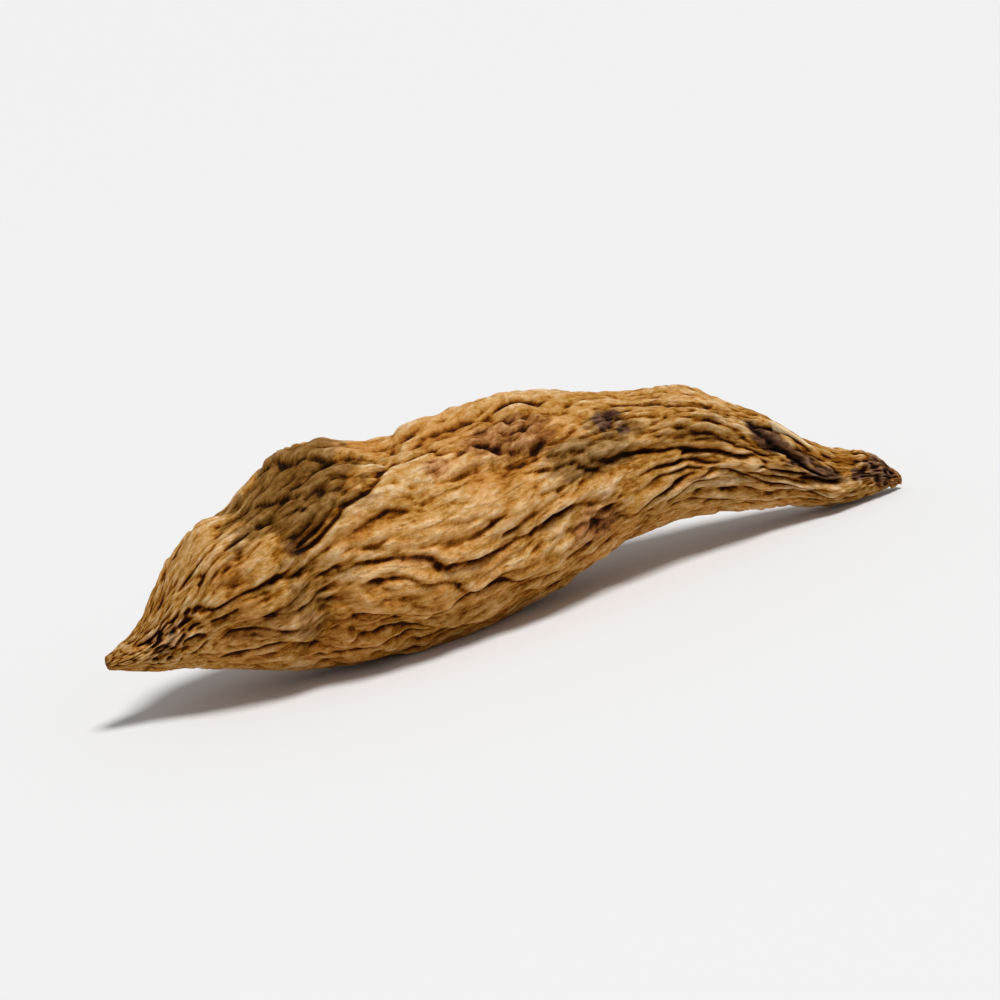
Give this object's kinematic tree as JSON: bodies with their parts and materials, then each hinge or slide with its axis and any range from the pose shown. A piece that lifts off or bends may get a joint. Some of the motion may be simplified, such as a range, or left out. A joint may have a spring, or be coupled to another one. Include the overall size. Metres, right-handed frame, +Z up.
{
  "type": "roasted ophiopogon tuber",
  "caption": "Dried, roasted root tuber: a long wrinkled spindle with folded skin, a blunt end with a frayed stub and a pinched, scorched tail, lying on its belly.",
  "frame": {"origin": "on the surface it lies on, under the middle of its bounding box", "axes": "+X from the blunt end to the tail, +Y away from the side the picture shows, +Z up"},
  "size_m": [0.033, 0.0086, 0.0087],
  "materials": {
    "root_skin": "dull dried skin, ochre on the folds and dark brown in the creases"
  },
  "bodies": {
    "root": {"tuber": "root_skin"}
  },
  "joints": []
}
